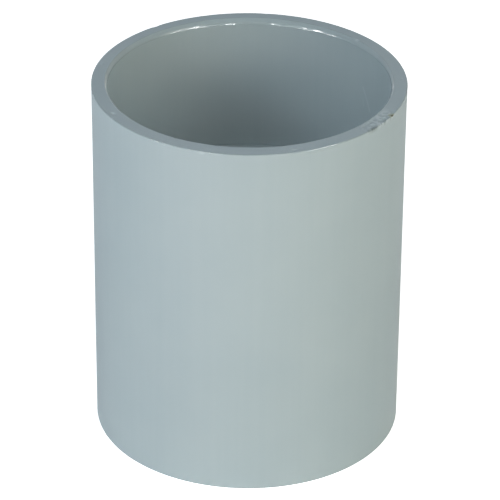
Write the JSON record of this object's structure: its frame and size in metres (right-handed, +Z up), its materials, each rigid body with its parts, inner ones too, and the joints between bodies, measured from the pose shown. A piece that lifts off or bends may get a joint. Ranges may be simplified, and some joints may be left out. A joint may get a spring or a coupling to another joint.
{
  "type": "reducing coupling",
  "caption": "Straight-sided solvent-cement plastic pipe coupling with a larger socket at its upper end and, in a cemented-in bushing, a smaller socket at its lower end.",
  "frame": {"origin": "centre of the lower end face, which the coupling stands on", "axes": "+Z up along the bore, from the smaller socket to the larger one; X and Y are any two square directions, because the part is round"},
  "size_m": [0.128, 0.128, 0.155],
  "materials": {
    "extruded_pvc": "smooth, semi-matte, light grey",
    "moulded_pvc": "moulded, semi-matte, light grey"
  },
  "bodies": {
    "root": {"coupling_sleeve": "extruded_pvc", "reducer_bushing": "moulded_pvc"}
  },
  "joints": []
}
